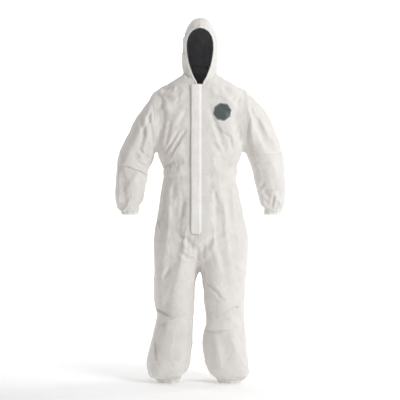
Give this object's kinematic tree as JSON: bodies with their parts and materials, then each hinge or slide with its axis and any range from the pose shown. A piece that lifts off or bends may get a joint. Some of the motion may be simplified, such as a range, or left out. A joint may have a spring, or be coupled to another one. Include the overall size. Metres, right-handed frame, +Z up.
{
  "type": "chemical protective suit",
  "caption": "White hooded one-piece protective coverall with a front zip under a storm flap, elasticated face, cuffs, waist and ankles.",
  "frame": {"origin": "middle of the suit's box in plan, at the level of the ankle hems", "axes": "+Z up the suit, the front faces -Y, the wearer's left is +X"},
  "size_m": [0.8478, 0.2838, 1.8],
  "materials": {
    "suit_sheet": "matt white film-laminated nonwoven polypropylene with a fine bonded dot pattern",
    "fold_sheet": "the same matt white nonwoven, where it folds at a joint",
    "flap_sheet": "matt white nonwoven, doubled",
    "hood_lining": "dark matt lining of the hood",
    "elastic_hem": "white elasticated hem, gathered",
    "zip_tape": "woven polyester zip tape",
    "zip_coil": "nylon coil",
    "zip_metal": "die-cast zinc, plain finish",
    "label_film": "slate grey-green printed film with a white border, blank",
    "label_paper": "plain paper or film"
  },
  "bodies": {
    "trunk": {"front_panel_left": "suit_sheet", "front_panel_right": "suit_sheet", "back_panel_left": "suit_sheet", "back_panel_right": "suit_sheet", "waist_elastic": "elastic_hem", "chest_label": "label_film", "size_label": "label_paper", "zip_tape_left": "zip_tape", "zip_tape_right": "zip_tape", "zip_teeth_left": "zip_coil", "zip_teeth_right": "zip_coil", "zip_top_stop_left": "zip_metal", "zip_top_stop_right": "zip_metal", "zip_bottom_stop": "zip_metal", "hood_neck_fold": "fold_sheet", "shoulder_fold_left": "fold_sheet", "shoulder_fold_right": "fold_sheet", "hip_fold_left": "fold_sheet", "hip_fold_right": "fold_sheet"},
    "flap": {"storm_flap": "flap_sheet", "flap_adhesive_tape": "label_paper"},
    "slider": {"zip_slider": "zip_metal"},
    "pull": {"zip_pull": "zip_metal"},
    "hood": {"hood_panel_left": "suit_sheet", "hood_panel_right": "suit_sheet", "hood_lining": "hood_lining", "face_elastic": "elastic_hem"},
    "left_arm": {"upper_sleeve_left": "suit_sheet", "elbow_fold_left": "fold_sheet"},
    "left_forearm": {"lower_sleeve_left": "suit_sheet", "wrist_elastic_left": "elastic_hem"},
    "left_thigh": {"thigh_front_left": "suit_sheet", "thigh_back_left": "suit_sheet", "knee_fold_left": "fold_sheet"},
    "left_shin": {"shin_front_left": "suit_sheet", "shin_back_left": "suit_sheet", "ankle_elastic_left": "elastic_hem"},
    "right_arm": {"upper_sleeve_right": "suit_sheet", "elbow_fold_right": "fold_sheet"},
    "right_forearm": {"lower_sleeve_right": "suit_sheet", "wrist_elastic_right": "elastic_hem"},
    "right_thigh": {"thigh_front_right": "suit_sheet", "thigh_back_right": "suit_sheet", "knee_fold_right": "fold_sheet"},
    "right_shin": {"shin_front_right": "suit_sheet", "shin_back_right": "suit_sheet", "ankle_elastic_right": "elastic_hem"}
  },
  "joints": [
    {"name": "storm_flap_open", "type": "hinge", "parent": "trunk", "child": "flap", "pos_m": [0.0075, -0.11358, 1.1573], "axis": [0, 0.0439, 0.999], "range_deg": [0, 110]},
    {"name": "zip_slide", "type": "slide", "parent": "trunk", "child": "slider", "axis": [0, -0.0439, -0.999], "range_m": [0, 0.69]},
    {"name": "zip_pull_swing", "type": "hinge", "parent": "slider", "child": "pull", "pos_m": [-0.006, -0.10187, 1.44772], "axis": [-1, 0, 0], "range_deg": [0, 20]},
    {"name": "hood_back", "type": "hinge", "parent": "trunk", "child": "hood", "pos_m": [0, 0.07389, 1.54], "axis": [-1, 0, 0], "range_deg": [0, 45], "deforming": ["hood_neck_fold"]},
    {"name": "shoulder_left", "type": "hinge", "parent": "trunk", "child": "left_arm", "pos_m": [0.215, 0.00389, 1.39], "axis": [0, -1, 0], "range_deg": [0, 65], "deforming": ["shoulder_fold_left"]},
    {"name": "elbow_left", "type": "hinge", "parent": "left_arm", "child": "left_forearm", "pos_m": [0.335, 0.00389, 1.095], "axis": [-1, 0, 0], "range_deg": [0, 75], "deforming": ["elbow_fold_left"]},
    {"name": "hip_left", "type": "hinge", "parent": "trunk", "child": "left_thigh", "pos_m": [0.12, 0.00389, 0.575], "axis": [-1, 0, 0], "range_deg": [-10, 45], "deforming": ["hip_fold_left"]},
    {"name": "knee_left", "type": "hinge", "parent": "left_thigh", "child": "left_shin", "pos_m": [0.124, 0.00389, 0.37], "axis": [1, 0, 0], "range_deg": [0, 60], "deforming": ["knee_fold_left"]},
    {"name": "shoulder_right", "type": "hinge", "parent": "trunk", "child": "right_arm", "pos_m": [-0.215, 0.00389, 1.39], "axis": [0, 1, 0], "range_deg": [0, 65], "deforming": ["shoulder_fold_right"]},
    {"name": "elbow_right", "type": "hinge", "parent": "right_arm", "child": "right_forearm", "pos_m": [-0.335, 0.00389, 1.095], "axis": [-1, 0, 0], "range_deg": [0, 75], "deforming": ["elbow_fold_right"]},
    {"name": "hip_right", "type": "hinge", "parent": "trunk", "child": "right_thigh", "pos_m": [-0.12, 0.00389, 0.575], "axis": [-1, 0, 0], "range_deg": [-10, 45], "deforming": ["hip_fold_right"]},
    {"name": "knee_right", "type": "hinge", "parent": "right_thigh", "child": "right_shin", "pos_m": [-0.124, 0.00389, 0.37], "axis": [1, 0, 0], "range_deg": [0, 60], "deforming": ["knee_fold_right"]}
  ]
}
